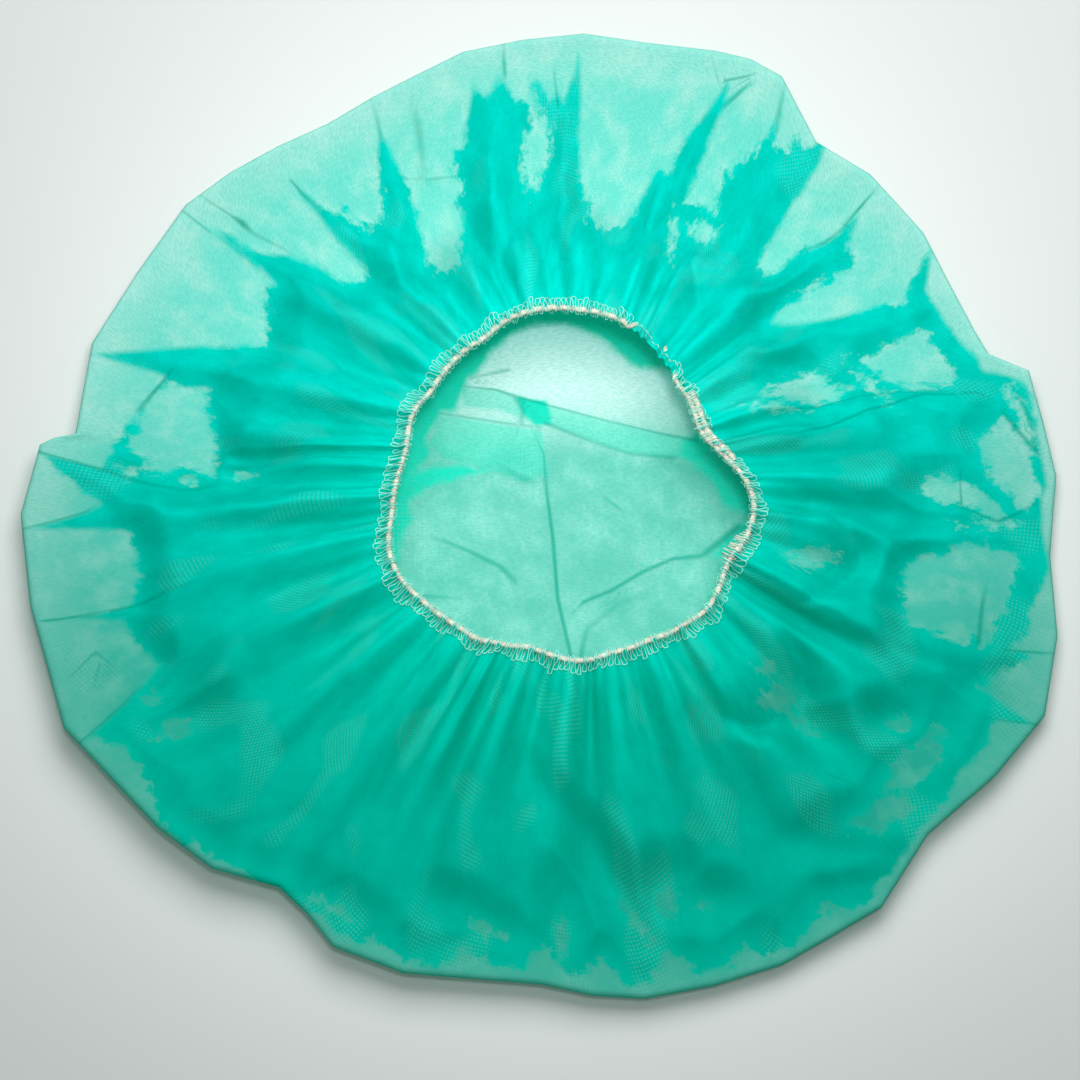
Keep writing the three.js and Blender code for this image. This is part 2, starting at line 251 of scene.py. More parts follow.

# Where the top layer stands off the layer below, drawn on the photo's chart in order round the cap:
# place, and how ragged the edge is there. Spikes have sharp edges, and the pale lobes between them
# ragged ends
# the cloth inside this outline is painted deep teal, as painted shade under it, and pale outside it, as
# painted light of the surface below
liftedEdge = [
    (87, 351, 0), (113, 347, 0), (188, 338, 0.1), (234, 336, 0.3), (264, 335, 0.6), (264, 312, 0.7),
    (262, 290, 0.8), (264, 276, 0.6), (271, 272, 0.3), (262, 263, 0.3), (249, 256, 0.2), (229, 243, 0.1),
    (214, 230, 0), (196, 218, 0), (228, 228, 0.2), (240, 237, 0.3), (252, 243, 0.3), (277, 245, 0.2),
    (299, 250, 0.2), (316, 256, 0.3), (340, 271, 0.6), (349, 272, 0.8), (364, 264, 0.6), (359, 252, 0.3),
    (336, 232, 0.1), (316, 208, 0.1), (301, 191, 0), (293, 179, 0), (311, 191, 0.1), (321, 199, 0.5),
    (330, 203, 0.7), (341, 199, 1), (349, 210, 1), (367, 217, 0.8), (381, 206, 1), (381, 190, 1),
    (376, 176, 1), (377, 163, 0.7), (374, 150, 0.4), (376, 138, 0.1), (378, 124, 0), (386, 138, 0.1),
    (394, 155, 0.1), (401, 166, 0.5), (404, 174, 0.9), (413, 191, 0.6), (417, 218, 0.5), (424, 236, 0.5),
    (426, 251, 0.7), (436, 264, 0.8), (449, 264, 0.8), (457, 254, 0.8), (456, 235, 0.5), (460, 208, 0.4),
    (454, 191, 0.8), (462, 179, 1), (454, 166, 1), (451, 146, 0.8), (461, 135, 0.6), (465, 110, 0.2),
    (469, 89, 0), (471, 70, 0), (474, 80, 0.1), (478, 86, 0.3), (486, 89, 0.5), (492, 82, 0.3),
    (495, 66, 0), (499, 76, 0), (502, 50, 0), (504, 76, 0), (507, 84, 0.3), (512, 91, 0.5), (521, 97, 0.7),
    (528, 92, 0.7), (529, 77, 0.3), (535, 74, 0.3), (539, 79, 0.3), (544, 86, 0.4), (549, 93, 0.4),
    (554, 84, 0.1), (561, 95, 0.4), (567, 79, 0.2), (572, 69, 0), (577, 46, 0), (579, 66, 0),
    (580, 90, 0.1), (578, 119, 0.2), (579, 150, 0.3), (578, 166, 0.5), (585, 178, 0.6), (590, 194, 0.8),
    (587, 204, 1), (596, 211, 1), (604, 222, 1), (614, 215, 0.9), (624, 215, 0.8), (630, 205, 0.5),
    (638, 189, 0.4), (650, 167, 0.3), (656, 155, 0.5), (663, 157, 0.6), (668, 161, 0.5), (672, 150, 0.4),
    (682, 132, 0.3), (702, 108, 0.2), (718, 88, 0.1), (726, 74, 0), (729, 82, 0), (724, 94, 0),
    (738, 84, 0), (756, 76, 0), (736, 90, 0), (724, 101, 0.1), (718, 111, 0.2), (710, 130, 0.3),
    (702, 153, 0.3), (692, 173, 0.4), (684, 190, 0.6), (696, 193, 0.9), (705, 191, 1), (714, 199, 1),
    (716, 188, 1), (719, 173, 1), (728, 160, 1), (739, 149, 1), (750, 148, 1), (760, 139, 1),
    (768, 132, 0.8), (772, 120, 0.5), (779, 106, 0.3), (782, 88, 0), (780, 110, 0.3), (776, 128, 0.5),
    (777, 144, 0.8), (784, 146, 0.9), (790, 138, 0.8), (797, 131, 0.8), (802, 144, 0.8), (812, 142, 0.3),
    (818, 136, 0), (826, 142, 0), (822, 150, 0.1), (816, 163, 0.2), (806, 179, 0.3), (790, 200, 0.2),
    (774, 228, 0.3), (759, 250, 0.6), (764, 259, 0.8), (774, 259, 0.7), (792, 247, 0.4), (800, 239, 0.6),
    (812, 237, 0.5), (824, 235, 0.3), (838, 226, 0.2), (845, 214, 0.1), (858, 202, 0), (871, 190, 0),
    (862, 200, 0), (846, 218, 0), (858, 207, 0), (855, 219, 0.2), (847, 240, 0.5), (852, 258, 1),
    (843, 264, 1), (834, 271, 1), (820, 275, 1), (810, 281, 1), (792, 291, 0.8), (781, 301, 0.5),
    (772, 312, 0.2), (789, 310, 0.1), (842, 306, 0.1), (870, 300, 0.4), (884, 296, 0.6), (896, 298, 0.7),
    (904, 293, 0.6), (908, 280, 0.4), (914, 268, 0.3), (920, 255, 0.1), (928, 247, 0), (932, 232, 0),
    (928, 268, 0), (925, 286, 0.2), (932, 296, 0.3), (944, 316, 0.2), (960, 337, 0.2), (975, 353, 0.2),
    (984, 366, 0.1), (995, 367, 0), (1013, 373, 0.1), (1024, 380, 0.2), (1030, 392, 0.3), (1033, 410, 0.3),
    (1036, 430, 0.4), (1040, 450, 0.4), (1043, 468, 0.2), (1046, 482, 0.1), (1041, 495, 0.2),
    (1041, 526, 0.1), (1046, 552, 0.1), (1048, 568, 0.1), (1042, 583, 0.4), (1034, 594, 0.6),
    (1026, 604, 0.8), (1033, 616, 1), (1026, 628, 1), (1014, 634, 0.9), (1010, 643, 0.5), (1020, 646, 0.1),
    (1046, 649, 0), (1030, 653, 0.2), (1030, 660, 0.8), (1000, 664, 0.5), (992, 672, 0.4), (990, 681, 0.3),
    (976, 678, 0.2), (1000, 697, 0.1), (1026, 716, 0), (1036, 723, 0), (1018, 720, 0.1), (997, 716, 0.3),
    (990, 726, 0.8), (986, 742, 0.8), (972, 757, 0.4), (957, 772, 0.5), (944, 800, 0.6), (925, 818, 0.5),
    (908, 842, 0.4), (893, 868, 0.4), (873, 884, 1), (868, 900, 1), (838, 912, 1), (822, 903, 1),
    (808, 925, 1), (790, 946, 0.8), (760, 950, 1), (748, 940, 1), (728, 966, 1), (700, 972, 0.6),
    (668, 948, 1), (650, 978, 0.8), (622, 982, 0.8), (600, 954, 1), (585, 968, 0.9), (565, 972, 0.7),
    (540, 940, 1), (520, 966, 0.9), (490, 962, 1), (462, 942, 1), (440, 968, 0.8), (400, 955, 0.9),
    (372, 936, 1), (350, 940, 0.6), (320, 914, 0.5), (270, 888, 0.6), (225, 862, 0.6), (190, 842, 0.9),
    (160, 826, 1), (152, 800, 1), (140, 768, 0.9), (124, 742, 0.5), (80, 739, 0), (120, 697, 0),
    (142, 672, 0.2), (154, 656, 0.4), (137, 642, 0.6), (118, 613, 0.3), (84, 613, 0), (47, 617, 0),
    (62, 614, 0), (110, 603, 0.1), (128, 594, 0.5), (134, 570, 0.8), (131, 548, 0.7), (124, 524, 0.4),
    (100, 522, 0.1), (24, 526, 0), (82, 505, 0), (96, 497, 0.2), (84, 486, 0.6), (62, 474, 0.5),
    (46, 456, 0.2), (38, 449, 0), (66, 454, 0), (97, 461, 0.1), (112, 436, 0.6), (130, 412, 0.3),
    (142, 398, 0.2), (163, 370, 0.1), (155, 367, 0), (118, 358, 0),
]

# Pale places inside the lifted cloth, where it touches the layer below and is painted pale with the light
# of the surface beneath. The small ones are ovals: place, half length, half width and turn in degrees. The
# larger ones are outlines
patchNames = ("x", "y", "long", "wide", "turn")
palePatches = [dict(zip(patchNames, row)) for row in (
    (125, 465, 6, 4, 0), (145, 462, 4, 3, 0), (187, 470, 5, 3, 0), (237, 462, 6, 3, 0),
    (195, 382, 5, 3, 30), (535, 139, 33, 13, 99), (529, 100, 9, 3, 90), (703, 217, 12, 9, 10),
    (672, 226, 12, 3, 95), (872, 375, 13, 3, 42), (771, 401, 14, 3, 0), (1021, 415, 27, 4, 70),
    (989, 518, 13, 3, 0), (812, 553, 20, 9, -8), (768, 665, 9, 5, 10), (776, 692, 16, 11, -10),
    (800, 712, 14, 4, 40), (901, 716, 10, 8, 0), (916, 757, 36, 15, -48), (886, 808, 30, 12, -22),
    (665, 895, 10, 14, 0), (703, 899, 7, 5, 0), (636, 918, 20, 4, 55), (170, 722, 16, 9, -20),
    (150, 690, 9, 4, -40), (110, 770, 40, 22, 50), (485, 925, 12, 5, 30), (560, 930, 6, 14, 0),
    (330, 905, 12, 5, 30),
)]
paleShapes = [
    [(127, 440), (140, 402), (165, 376), (204, 380), (203, 400), (212, 438), (208, 464), (178, 452),
     (160, 464)],
    [(862, 350), (880, 343), (905, 332), (924, 325), (930, 335), (938, 344), (954, 369), (950, 378),
     (914, 379), (891, 374), (871, 356)],
    [(758, 388), (780, 378), (800, 367), (816, 361), (832, 371), (850, 378), (838, 386), (800, 390),
     (776, 391)],
    [(1003, 413), (981, 431), (984, 448), (990, 462), (988, 472), (1012, 488), (1016, 505), (1028, 500),
     (1038, 487), (1030, 462), (1034, 448), (1020, 432)],
    [(923, 478), (930, 470), (944, 467), (968, 475), (990, 494), (1003, 508), (994, 511), (961, 496),
     (932, 488)],
    [(907, 560), (912, 551), (932, 545), (950, 545), (965, 536), (985, 542), (1003, 545), (1020, 553),
     (1014, 574), (1003, 600), (992, 632), (982, 641), (976, 626), (967, 639), (942, 627), (909, 614),
     (906, 585)],
]

# Where the crown lies on the surface below, seen through the mouth, the knot of its tuck that stands
# off inside there, and the doubled band of the tuck
# the crown is painted pale inside this outline, as painted light of the surface below, and deep teal
# outside it, as painted shade
crownContact = [
    (507, 334), (531, 322), (563, 320), (596, 334), (617, 352), (636, 366), (660, 366), (690, 385),
    (700, 430), (679, 438), (677, 451), (695, 465), (713, 484), (722, 502), (748, 514), (735, 527),
    (706, 553), (722, 556), (717, 575), (706, 598), (690, 622), (640, 655), (582, 668), (545, 662),
    (530, 645), (475, 645), (448, 622), (421, 600), (396, 566), (400, 537), (411, 516), (408, 500),
    (427, 484), (486, 468), (464, 463), (429, 463), (413, 470), (429, 451), (425, 435), (440, 411),
    (456, 406), (459, 395), (464, 382), (475, 371), (488, 352),
]
tuckKnot = [(515, 394), (545, 398), (551, 422), (534, 422), (519, 409)]
crownVeil = [(440, 411), (480, 418), (540, 428), (548, 472), (522, 480), (486, 468), (440, 455), (427, 440)]
tuckBand = [
    (460, 384), (494, 387), (518, 395), (548, 403), (601, 417), (655, 430), (690, 437), (704, 456),
    (668, 455), (628, 451), (588, 438), (548, 422), (534, 422), (500, 408), (460, 404),
]

# Sharp creases, darkened with painted shade, each a line of places with its width in pixels and its
# strength there. The first are on the gathered cloth
topCreases = [
    [(38, 449, 2, 0.5), (95, 462, 3, 0.6), (150, 478, 3, 0.5), (178, 481, 4, 0.4), (240, 470, 4, 0)],
    [(22, 526, 2, 0.4), (80, 506, 2, 0.5), (100, 494, 3, 0)],
    [(45, 617, 2, 0.8), (60, 614, 2, 0.7), (110, 603, 3, 0.6), (160, 589, 4, 0.4), (225, 569, 4, 0)],
    [(80, 612, 2, 0.3), (118, 611, 2, 0)],
    [(79, 739, 2, 0.6), (120, 697, 3, 0.5), (142, 672, 3, 0)],
    [(72, 668, 2, 0.3), (92, 646, 2, 0.6), (106, 657, 2, 0.3)],
    [(97, 655, 2, 0.5), (92, 677, 2, 0.2)],
    [(176, 205, 2, 0.3), (190, 214, 2, 0.5), (203, 223, 2, 0.3)],
    [(198, 192, 2, 0.2), (229, 210, 2, 0.5), (240, 217, 5, 0.9), (250, 226, 3, 0.4), (280, 240, 2, 0.3),
     (300, 251, 2, 0)],
    [(292, 178, 2, 0.6), (301, 188, 3, 0.6), (312, 197, 3, 0.3)],
    [(371, 100, 4, 0.1), (376, 116, 4, 0.35), (378, 128, 3, 0.4)],
    [(411, 98, 8, 0.1), (417, 124, 6, 0.4), (420, 148, 5, 0.3), (422, 176, 4, 0)],
    [(502, 42, 3, 0.2), (503, 66, 3, 0.5)],
    [(553, 70, 2, 0.3), (556, 94, 2, 0.6)],
    [(711, 56, 2, 0.1), (716, 72, 2, 0.3)],
    [(757, 69, 2, 0), (745, 72, 2, 0.6), (727, 75, 2, 0.6)],
    [(748, 78, 2, 0.2), (735, 90, 3, 0.6), (726, 98, 3, 0.4)],
    [(782, 86, 3, 0.2), (778, 106, 4, 0.5), (776, 120, 4, 0.3)],
    [(873, 187, 2, 0.2), (860, 201, 2, 0.8), (847, 216, 2, 0.5)],
    [(806, 240, 3, 0.2), (824, 235, 3, 0.6), (842, 222, 3, 0.3)],
    [(400, 169, 2, 0.1), (430, 169, 2, 0.4), (464, 167, 2, 0.1)],
    [(772, 437, 2, 0), (800, 426, 2, 0.5), (826, 415, 2, 0.6), (883, 396, 2, 0.6), (924, 386, 2, 0.6),
     (975, 388, 2, 0.5), (1000, 398, 2, 0)],
    [(770, 406, 2, 0.2), (800, 398, 2, 0.5), (822, 394, 2, 0.5), (880, 385, 2, 0.3), (934, 383, 2, 0.4),
     (960, 385, 2, 0)],
    [(1003, 408, 3, 0.3), (1012, 420, 3, 0.7), (1034, 446, 3, 0.6)],
    [(1014, 386, 3, 0.2), (1026, 410, 4, 0.5), (1036, 436, 3, 0.2)],
    [(961, 470, 2, 0.4), (962, 498, 2, 0.7)],
    [(955, 498, 2, 0.2), (975, 506, 2, 0.6), (997, 516, 3, 0.6), (1012, 511, 3, 0.7), (1030, 502, 3, 0.3)],
    [(986, 580, 3, 0.1), (982, 600, 3, 0.7), (979, 632, 4, 0.7)],
    [(1008, 645, 2, 0.5), (1030, 648, 2, 0.8), (1048, 650, 2, 0.4)],
    [(990, 714, 2, 0.2), (1015, 718, 2, 0.5), (1038, 722, 2, 0.4)],
    [(810, 579, 2, 0), (832, 561, 2, 0.3), (855, 546, 3, 0)],
    [(818, 766, 2, 0), (834, 773, 2, 0.5), (852, 780, 2, 0)],
    [(290, 892, 5, 0), (330, 878, 6, 0.3), (376, 861, 5, 0)],
    [(775, 915, 2, 0), (772, 940, 2, 0.4), (768, 958, 2, 0.1)],
    [(900, 316, 6, 0), (925, 310, 9, 0.4), (936, 300, 6, 0)],
    [(138, 401, 4, 0.5), (152, 384, 3, 0.8), (165, 367, 3, 0.5)],
]
crownCreases = [
    [(467, 384, 2, 0.4), (494, 387, 2, 0.7), (518, 395, 3, 0.7), (548, 403, 2, 0.6), (601, 417, 2, 0.5),
     (655, 430, 2, 0.6), (690, 437, 3, 0.6)],
    [(443, 411, 2, 0.4), (494, 419, 2, 0.5), (534, 424, 2, 0.4)],
    [(548, 422, 3, 0.6), (588, 438, 3, 0.4), (628, 451, 3, 0.4), (668, 455, 4, 0.6)],
    [(531, 428, 2, 0.1), (542, 451, 2, 0.5), (545, 489, 2.5, 0.8), (551, 534, 3, 0.9), (556, 596, 3, 0.9),
     (568, 648, 3, 0.8)],
    [(575, 606, 2, 0.3), (582, 599, 3, 0.8), (609, 588, 3, 0.8), (641, 569, 3, 0.8), (671, 556, 3, 0.8),
     (700, 553, 4, 0.7), (735, 526, 7, 0.9)],
    [(579, 654, 4, 0.7), (585, 626, 4, 0.4), (617, 601, 5, 0.3), (650, 588, 6, 0.1)],
    [(427, 534, 4, 0.1), (445, 539, 3, 0.5), (467, 548, 3, 0.6), (499, 564, 4, 0.7), (511, 576, 4, 0.5)],
    [(422, 593, 3, 0.6), (454, 595, 3, 0.2)],
    [(500, 464, 4, 0.2), (521, 476, 5, 0.5), (540, 480, 4, 0.1)],
    [(474, 374, 2, 0.3), (502, 368, 3, 0.5)],
    [(607, 498, 3, 0.3), (614, 503, 3, 0.6), (622, 509, 2, 0.1)],
    [(515, 398, 4, 0.5), (522, 408, 4, 0.5), (516, 428, 2, 0.2)],
    [(600, 472, 8, 0.05), (660, 462, 9, 0.2), (700, 470, 8, 0.1)],
]

# Soft valleys between the folds of the gathered cloth, dented in and darkened with painted shade: from, to,
# width in pixels and share of their depth
foldPlaceNames = ("ax", "ay", "bx", "by", "wide", "strong")
softFolds = [dict(zip(foldPlaceNames, row)) for row in (
    (740, 570, 817, 620, 13, 0.9), (817, 620, 884, 641, 13, 0.8), (884, 641, 950, 652, 12, 0.6),
    (950, 655, 1010, 661, 11, 0.8), (690, 710, 778, 826, 20, 0.8), (778, 826, 906, 846, 16, 0.7),
    (821, 880, 892, 868, 12, 0.7), (852, 548, 922, 513, 12, 0.5), (795, 480, 882, 522, 14, 0.5),
    (735, 443, 883, 445, 22, 0.7), (760, 515, 800, 508, 16, 0.6), (298, 300, 410, 362, 18, 0.6),
    (340, 680, 280, 750, 10, 0.5), (300, 805, 215, 830, 10, 0.4), (476, 200, 488, 290, 10, 0.3),
    (655, 290, 784, 268, 9, 0.4), (740, 345, 860, 335, 16, 0.4), (350, 430, 240, 440, 16, 0.4),
    (380, 520, 200, 515, 14, 0.4), (390, 590, 250, 640, 16, 0.5), (430, 660, 380, 800, 14, 0.5),
    (470, 690, 430, 890, 14, 0.5), (520, 700, 500, 880, 14, 0.45), (590, 690, 575, 880, 16, 0.6),
    (640, 690, 690, 860, 16, 0.5), (400, 720, 300, 880, 14, 0.5), (560, 760, 610, 930, 12, 0.4),
)]


def foldColumns():
    # for each column of the cloth: its laid angle, edge point, mouth point, ridge and lift
    count = len(folds)
    half = cloth["laidHalf"]
    corners = [half * f["edge"] * np.array([math.cos(a), math.sin(a)])
               for f in folds for a in [math.radians(f["angle"])]]
    straight, after = [], None
    for corner in corners:
        toMouth = corner - cloth["mouth"][:2]
        angle = math.atan2(toMouth[1], toMouth[0])
        if after is not None:
            angle += turn * math.ceil((after - angle) / turn)
        straight.append(angle)
        after = angle
    start = sum(a - turn * i / count for i, a in enumerate(straight)) / count
    mouthAngles = [(a + start + turn * i / count) / 2 for i, a in enumerate(straight)]
    columns = []
    for i, fold in enumerate(folds):
        last = i == count - 1
        after = folds[0 if last else i + 1]
        afterAngle = after["angle"] + (360 if last else 0)
        afterMouth = mouthAngles[0] + turn if last else mouthAngles[i + 1]
        middleAngle = math.radians((fold["angle"] + afterAngle) / 2)
        middle = half * fold["between"] * np.array([math.cos(middleAngle), math.sin(middleAngle)])
        for step in range(cloth["columnsPerFold"]):
            share = step / cloth["columnsPerFold"]
            if share <= 0.5:
                part, ends = 2 * share, (corners[i], middle)
                mouthEnds = (fold["mouth"], fold["mouthBetween"])
            else:
                part, ends = 2 * share - 1, (middle, corners[(i + 1) % count])
                mouthEnds = (fold["mouthBetween"], after["mouth"])
            edge = ends[0] * (1 - part) + ends[1] * part
            angle = mouthAngles[i] * (1 - share) + afterMouth * share
            radius = cloth["mouthRadius"] * (mouthEnds[0] * (1 - part) + mouthEnds[1] * part)
            pleat = fold["pleat"] * (1 - share) + after["pleat"] * share
            lift = fold["lift"] * (1 - share) + after["lift"] * share
            mouth = cloth["mouth"][:2] + radius * np.array([math.cos(angle), math.sin(angle)])
            columns.append((*edge, *mouth, math.cos(turn * share) * pleat, lift))
    return np.array(columns)


def edgeDistance(points, corners):
    # distance to a closed outline, positive inside it, and the third value of the outline's nearest place
    corners = np.array(corners, float)
    nearest = np.full(len(points), 1e9)
    third = np.zeros(len(points))
    inside = np.zeros(len(points), bool)
    for a, b in zip(corners, np.roll(corners, -1, axis=0)):
        along = (b - a)[:2]
        share = np.clip((points - a[:2]) @ along / (along @ along), 0, 1)
        distance = np.linalg.norm(points - a[:2] - share[:, None] * along, axis=1)
        closer = distance < nearest
        nearest = np.where(closer, distance, nearest)
        if len(a) > 2:
            third = np.where(closer, a[2] * (1 - share) + b[2] * share, third)
        crosses = (a[1] > points[:, 1]) != (b[1] > points[:, 1])
        at = a[0] + (points[:, 1] - a[1]) * along[0] / (along[1] if along[1] else 1e-9)
        inside ^= crosses & (points[:, 0] < at)
    return np.where(inside, nearest, -nearest), third


def patchDepth(points, patch):
    # about how far inside a patch a point is, negative outside
    angle = math.radians(patch["turn"])
    x, y = points[:, 0] - patch["x"], points[:, 1] - patch["y"]
    along = (x * math.cos(angle) + y * math.sin(angle)) / patch["long"]
    across = (y * math.cos(angle) - x * math.sin(angle)) / patch["wide"]
    return (1 - np.hypot(along, across)) * min(patch["long"], patch["wide"])


def segmentDistance(points, a, b):
    # distance to a segment, to the left of the straight line through it, and the share of its length
    along = np.subtract(b, a).astype(float)
    away = points - np.array(a, float)
    share = np.clip(away @ along / (along @ along), 0, 1)
    left = (away[:, 0] * along[1] - away[:, 1] * along[0]) / np.linalg.norm(along)
    return np.linalg.norm(away - share[:, None] * along, axis=1), left, share


def creaseField(points, creases):
    # for each point, how many widths it is from the nearest crease's line, and that crease's strength
    nearest, gap, strong = np.full(len(points), 1e9), np.full(len(points), 9.0), np.zeros(len(points))
    for crease in creases:
        for a, b in zip(crease, crease[1:]):
            distance, left, share = segmentDistance(points, a[:2], b[:2])
            closer = distance < nearest
            nearest = np.where(closer, distance, nearest)
            gap = np.where(closer, left / (a[2] * (1 - share) + b[2] * share), gap)
            here = (a[3] * (1 - share) + b[3] * share) * (1 - smooth(4, 9, distance))
            strong = np.where(closer, here, strong)
    return gap, strong


def softDepth(points):
    depth = np.zeros(len(points))
    for fold in softFolds:
        distance = segmentDistance(points, (fold["ax"], fold["ay"]), (fold["bx"], fold["by"]))[0]
        depth = np.maximum(depth, fold["strong"] * np.exp(-(distance / fold["wide"]) ** 2))
    return depth


def layCloth(flat):
    # the laid place of each point of the flat cloth, and what the material reads there
    columns = foldColumns()
    count = len(columns)
    out = np.hypot(flat[:, 0], flat[:, 1])
    where = (np.arctan2(flat[:, 1], flat[:, 0]) / turn * count + 1e-6) % count
    whole = np.floor(where).astype(int)
    part = (where - whole)[:, None]
    column = columns[whole % count] * (1 - part) + columns[(whole + 1) % count] * part
    edge, mouth, ridge, lift = column[:, 0:2], column[:, 2:4], column[:, 4], column[:, 5]
    low = cloth["cadWall"] / 2
    edgeRadius = np.linalg.norm(edge, axis=1)
    direction = edge / edgeRadius[:, None]
    roll = cloth["pressedFold"] * (1 - lift) + cloth["openFold"] * lift
    start = edgeRadius - roll - low
    rise = cloth["edgeLift"] * lift

    def floorHeight(share):
        return low * 0.5 + rise * 0.95 * smooth(cloth["floorShare"] - 0.05, 1.05, share)

    # crown and lower layer
    share = np.clip(out / cloth["floorEnd"], 0, 1)
    place = np.zeros((len(flat), 3))
    place[:, :2] = direction * (start * share)[:, None]
    place[:, 2] = floorHeight(share)
    # fold of the edge
    onFold = out > cloth["floorEnd"] + 1e-6
    foldWidth = cloth["foldEnd"] - cloth["floorEnd"]
    bend = np.clip((out - cloth["floorEnd"]) / foldWidth, 0, 1) * cloth["foldAngle"]
    place[onFold, :2] = (direction * (start + roll * np.sin(bend))[:, None])[onFold]
    place[onFold, 2] = (floorHeight(1) + roll * (1 - np.cos(bend)))[onFold]
    # gathered top layer
    onTop = out > cloth["foldEnd"] + 1e-6
    back = np.clip((out - cloth["foldEnd"]) / (cloth["cutRadius"] - cloth["foldEnd"]), 0, 1)
    plan = direction * start[:, None] * (1 - back)[:, None] + mouth * back[:, None]
    foldTop = floorHeight(1) + 2 * roll
    climb = back ** 1.6
    pleatRise = np.interp(back, [p["way"] for p in pleatProfile], [p["height"] for p in pleatProfile])
    turns = where / count * turn
    coarse, fine = cloth["gatherWaves"]
    gathers = (np.sin(coarse * turns + 1.3 * np.sin(5 * turns))
               + 0.6 * np.sin(fine * turns + 2 * np.sin(3 * turns)))
    gatherRise = (smooth(0.5, 0.95, back) * cloth["gatherDepth"]
                  + smooth(0.96, 1, back) * (cloth["edgeGatherDepth"] - cloth["gatherDepth"]))
    full = (foldTop * (1 - climb) + cloth["mouth"][2] * climb + cloth["pleatDepth"] * pleatRise * ridge
            + gathers * gatherRise)
    below = floorHeight(np.linalg.norm(plan, axis=1) / start) + 0.7 * mm
    raised = place.copy()
    raised[onTop, :2] = plan[onTop]
    raised[onTop, 2] = full[onTop]
    onChart = chart(raised)
    soft = softDepth(onChart)
    full -= soft * cloth["valleyDepth"] * smooth(0.0, 0.15, back)
    margin, ragged = edgeDistance(onChart, liftedEdge)
    for depth in ([patchDepth(onChart, patch) for patch in palePatches]
                  + [edgeDistance(onChart, shape)[0] for shape in paleShapes]):
        ragged = np.where(-depth < margin, 0.8, ragged)
        margin = np.minimum(margin, -depth)
    standing = smooth(-4, 42, margin)
    # the cloth comes down from the fold of the edge over a few millimetres
    settled = np.minimum(below + (foldTop - below) * np.exp(-back / 0.05), full)
    place[onTop, :2] = plan[onTop]
    place[onTop, 2] = (settled + (full - settled) * np.maximum(standing, smooth(0.5, 0.8, back)))[onTop]
    # the crown's own lifted places and its tuck, seen through the mouth
    onCrown = out < cloth["crownEnd"]
    crownChart = chart(place)
    crownMargin = -edgeDistance(crownChart, crownContact)[0]
    crownMargin = np.maximum(crownMargin, 2 * edgeDistance(crownChart, tuckKnot)[0])
    tuck = np.maximum(edgeDistance(crownChart, tuckBand)[0], edgeDistance(crownChart, crownVeil)[0])
    fadeOut = smooth(cloth["crownEnd"], 62 * mm, out)
    place[onCrown, 2] += (smooth(0, 60, crownMargin) * cloth["crownRise"] * fadeOut)[onCrown]
    upper = onTop | onFold
    topField, crownField = creaseField(onChart, topCreases), creaseField(crownChart, crownCreases)
    creased = crownField[1] * np.exp(-crownField[0] ** 2 / 4)
    place[:, 2] += np.where(onCrown, creased, 0) * cloth["creaseRise"]
    place[:, 2] += np.where(onCrown, smooth(-3, 8, tuck), 0) * cloth["tuckRise"]
    # margins are in pixels of the chart, and the crease's gap is in its own widths
    return place, chart(place), {
        "standing": np.where(upper, margin, crownMargin * 0.7), "ragged": np.where(upper, ragged, 0.2),
        "on_crown": np.where(upper, 0.0, 1.0), "valley_shade": np.where(upper, soft, 0.0),
        "tuck": np.where(upper, -9.0, tuck), "crease_gap": np.where(upper, topField[0], crownField[0]),
        "crease_shade_strength": np.where(upper, topField[1], crownField[1])}


def makeCloth(material):
    bm = bmesh.new()
    start = 0.0
    line = [bm.verts.new((0, 0, 0))]
    for end, rings in clothRings:
        for ring in range(1, rings + 1):
            line.append(bm.verts.new((start + (end - start) * ring / rings, 0, 0)))
        start = end
    edges = [bm.edges.new(pair) for pair in zip(line, line[1:])]
    steps = len(folds) * cloth["columnsPerFold"]
    bmesh.ops.spin(bm, geom=line + edges, cent=(0, 0, 0), axis=(0, 0, 1), angle=turn, steps=steps,
                   use_merge=True)
    bmesh.ops.remove_doubles(bm, verts=bm.verts, dist=1e-6)
    bmesh.ops.recalc_face_normals(bm, faces=bm.faces)
    piece = newPiece("bouffant_cloth", bm, material)
    mesh = piece.data
    flat = np.zeros(len(mesh.vertices) * 3)
    mesh.vertices.foreach_get("co", flat)
    flat = flat.reshape(-1, 3)
    place, onChart, readings = layCloth(flat)
    low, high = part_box("crown")
    shift = np.append((np.array(low) + np.array(high))[:2] / 2 - ((place.min(0) + place.max(0)) / 2)[:2], 0)
    mesh.vertices.foreach_set("co", (place + shift).ravel())
    for name, values in readings.items():
        mesh.attributes.new(name, "FLOAT", "POINT").data.foreach_set("value", values)
    corner = np.zeros(len(mesh.loops), int)
    mesh.loops.foreach_get("vertex_index", corner)
    # the flat cut cloth, with its angle as it lies, and the chart
    angle = np.arctan2(place[:, 1], place[:, 0])
    out = np.hypot(flat[:, 0], flat[:, 1])
    cut = np.stack([out * np.cos(angle), out * np.sin(angle)], axis=1)
    for name, values in (("cut_cloth", cut), ("chart", onChart / view["pictureSide"])):
        mesh.uv_layers.new(name=name).data.foreach_set("uv", values[corner].ravel())
    mesh.update()
    areas = np.zeros(len(mesh.polygons))
    mesh.polygons.foreach_get("area", areas)
    rim = (place + shift)[out > cloth["cutRadius"] - 1e-5]
    rim = rim[np.argsort(np.arctan2(rim[:, 1] - cloth["mouth"][1], rim[:, 0] - cloth["mouth"][0]))]
    print("cloth laid, area", round(areas.sum(), 4), "m2, gathered edge",
          round(np.linalg.norm(rim - np.roll(rim, 1, axis=0), axis=1).sum(), 3), "m")
    return piece, shift
